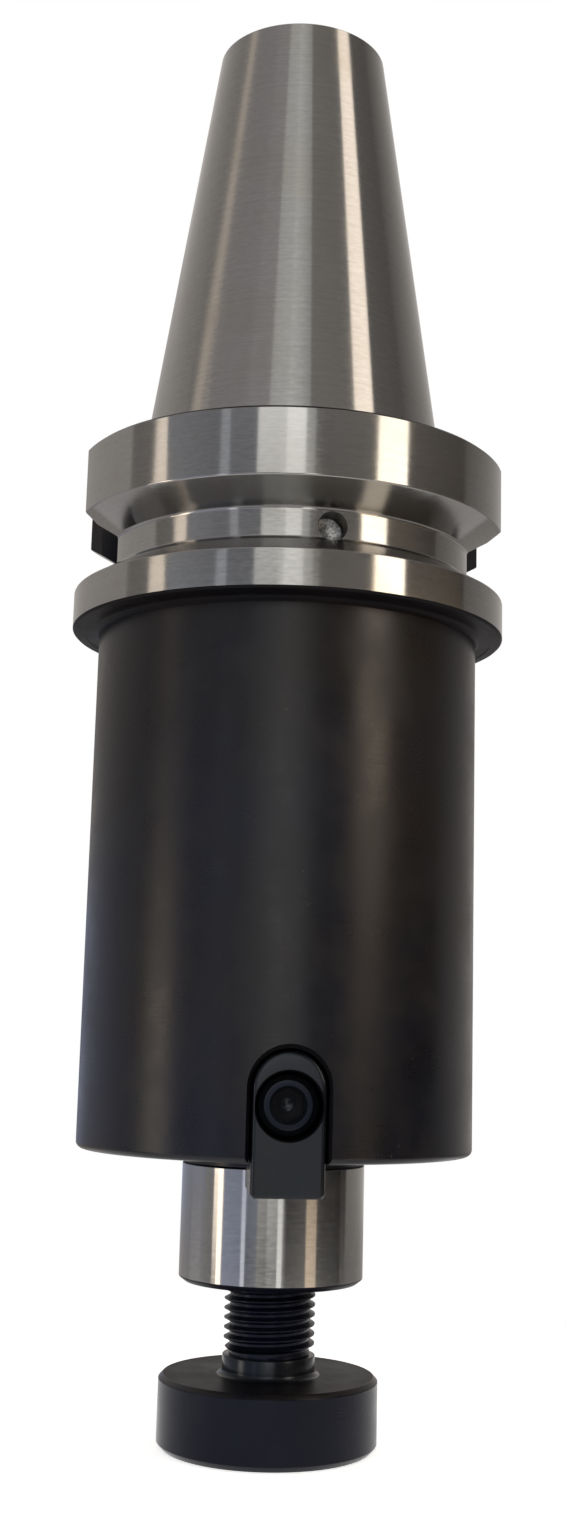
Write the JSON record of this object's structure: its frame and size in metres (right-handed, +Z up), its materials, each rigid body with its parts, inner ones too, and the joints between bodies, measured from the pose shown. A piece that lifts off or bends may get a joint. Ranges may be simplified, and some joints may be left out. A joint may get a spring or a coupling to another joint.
{
  "type": "shell mill holder",
  "caption": "Steel tool holder with a steep spindle taper, V-groove flange, cylindrical body, pilot, drive keys and a lock screw that clamps a shell mill.",
  "frame": {"origin": "centre of the lock screw's bottom face, on which the holder stands", "axes": "+Z up the axis to the small end of the taper, drive keys at -Y (front) and +Y (rear), spindle key slots at -X and +X"},
  "size_m": [0.063, 0.063, 0.2046],
  "materials": {
    "ground_steel": "ground bright, fine lines round the axis",
    "black_oxide": "black oxide, satin"
  },
  "bodies": {
    "holder": {"holder_body": "ground_steel", "drive_key_front": "black_oxide", "drive_key_rear": "black_oxide", "key_screw_front": "black_oxide", "key_screw_rear": "black_oxide"},
    "lock_screw": {"lock_screw": "black_oxide"}
  },
  "joints": [
    {"name": "lock_screw_travel", "type": "slide", "parent": "holder", "child": "lock_screw", "axis": [0, 0, 1], "range_m": [-0.018, 0.0119]}
  ]
}
